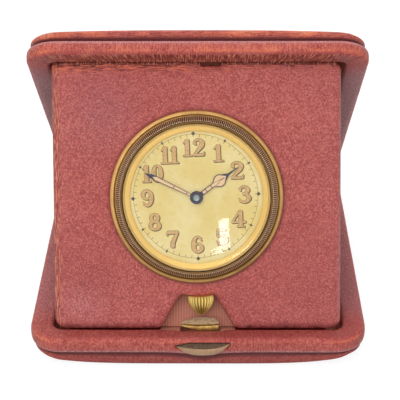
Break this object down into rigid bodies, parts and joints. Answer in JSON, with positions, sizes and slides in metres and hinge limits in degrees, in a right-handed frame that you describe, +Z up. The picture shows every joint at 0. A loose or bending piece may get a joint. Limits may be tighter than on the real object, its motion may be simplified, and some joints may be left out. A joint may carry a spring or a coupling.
{
  "type": "travel clock",
  "caption": "Folding travel clock standing open: two padded leather covers hinged at the back, and a leather board with a round gilt dial propped between them.",
  "frame": {"origin": "middle of the flat that the lower cover rests on", "axes": "+Z up, +Y from the catch at the front to the back hinge, +X to the right for a person who reads the dial"},
  "size_m": [0.088, 0.0973, 0.08],
  "materials": {
    "red_leather": "grained, waxed, worn at the edges",
    "red_lining": "fine ribbed silk, matt",
    "brass": "polished, lightly tarnished",
    "gilt_brass": "gilt, satin",
    "dark_brass": "milled, darkened in the grooves",
    "steel": "fine brushed",
    "blue_steel": "blued, satin",
    "dial_gilt": "gilt, grained, matt",
    "crystal_glass": "clear, polished"
  },
  "bodies": {
    "lower_cover": {"lower_rim": "red_leather", "lower_pad": "red_leather", "lower_lining": "red_lining", "lower_hinge_leaf": "brass", "hinge_pin": "brass", "foot_rest_left": "red_lining", "foot_rest_right": "red_lining", "catch_spring": "steel"},
    "catch": {"catch_button": "dark_brass", "catch_hook": "gilt_brass"},
    "upper_cover": {"upper_rim": "red_leather", "upper_pad": "red_leather", "upper_lining": "red_lining", "upper_hinge_leaf": "brass", "board_hinge_strip": "red_leather", "catch_keeper": "brass"},
    "minute": {"centre_wheel": "brass", "cannon_pinion": "steel", "minute_hand": "blue_steel"},
    "hour": {"hour_wheel": "brass", "hour_hand": "blue_steel"},
    "minute_wheel": {"minute_wheel": "brass"},
    "barrel": {"barrel": "brass"},
    "third_wheel": {"third_wheel": "brass"},
    "pallet_fork": {"pallet_fork": "steel"},
    "balance": {"balance_wheel": "gilt_brass"},
    "winding": {"winding_pinion": "steel"},
    "crown": {"crown": "gilt_brass", "winding_stem": "steel"},
    "clock_board": {"balance_cock": "brass", "bezel": "brass", "board_backing": "red_lining", "case_back": "brass", "clock_board": "red_leather", "crystal": "crystal_glass", "dial": "dial_gilt", "dial_ring": "gilt_brass", "escape_wheel": "brass", "fourth_wheel": "brass", "main_plate": "brass", "milled_ring": "dark_brass", "minute_stud": "steel", "movement_case": "brass", "plate_pillar_1": "brass", "plate_pillar_2": "brass", "plate_pillar_3": "brass", "ratchet_wheel": "steel", "stem_tube": "brass", "train_bridge": "brass"}
  },
  "joints": [
    {"name": "catch_slide", "type": "slide", "parent": "lower_cover", "child": "catch", "axis": [0, 1, 0], "range_m": [0, 0.001], "stiffness_N_per_m": 300, "springref_m": -0.0008},
    {"name": "upper_cover_hinge", "type": "hinge", "parent": "lower_cover", "child": "upper_cover", "pos_m": [0, 0.0468, 0.00939], "axis": [-1, 0, 0], "range_deg": [0, 120]},
    {"name": "board_hinge", "type": "hinge", "parent": "upper_cover", "child": "clock_board", "pos_m": [0, -0.01069, 0.0709], "axis": [1, 0, 0], "range_deg": [0, 67.5]},
    {"name": "minute_turn", "type": "hinge", "parent": "clock_board", "child": "minute", "pos_m": [-0.00025, -0.02485, 0.04021], "axis": [0, -0.9081, 0.4188], "continuous": true},
    {"name": "hour_turn", "type": "hinge", "parent": "clock_board", "child": "hour", "pos_m": [-0.00025, -0.02485, 0.04021], "axis": [0, -0.9081, 0.4188], "continuous": true},
    {"name": "minute_wheel_turn", "type": "hinge", "parent": "clock_board", "child": "minute_wheel", "pos_m": [0.00371, -0.02613, 0.03743], "axis": [0, -0.9081, 0.4188], "continuous": true},
    {"name": "barrel_turn", "type": "hinge", "parent": "clock_board", "child": "barrel", "pos_m": [-0.00839, -0.02625, 0.03717], "axis": [0, -0.9081, 0.4188], "continuous": true},
    {"name": "third_wheel_turn", "type": "hinge", "parent": "clock_board", "child": "third_wheel", "pos_m": [0.00059, -0.02223, 0.04588], "axis": [0, -0.9081, 0.4188], "continuous": true},
    {"name": "pallet_fork_rock", "type": "hinge", "parent": "clock_board", "child": "pallet_fork", "pos_m": [0.00921, -0.02488, 0.04014], "axis": [0, -0.9081, 0.4188], "range_deg": [-4, 4]},
    {"name": "balance_swing", "type": "hinge", "parent": "clock_board", "child": "balance", "pos_m": [0.0086, -0.02679, 0.036], "axis": [0, -0.9081, 0.4188], "range_deg": [-200, 200], "stiffness_Nm_per_rad": 0.0000002},
    {"name": "winding_turn", "type": "hinge", "parent": "clock_board", "child": "winding", "pos_m": [-0.00025, -0.02467, 0.04012], "axis": [0.0401, -0.4184, -0.9074], "continuous": true},
    {"name": "crown_pull", "type": "slide", "parent": "winding", "child": "crown", "axis": [0.0401, -0.4184, -0.9074], "range_m": [0, 0.0007]}
  ],
  "couplings": [
    {"joint": "hour_turn", "follows": "minute_turn", "ratio": 0.083333},
    {"joint": "minute_wheel_turn", "follows": "minute_turn", "ratio": -0.33333},
    {"joint": "barrel_turn", "follows": "minute_turn", "ratio": -0.16667},
    {"joint": "third_wheel_turn", "follows": "minute_turn", "ratio": -8}
  ]
}
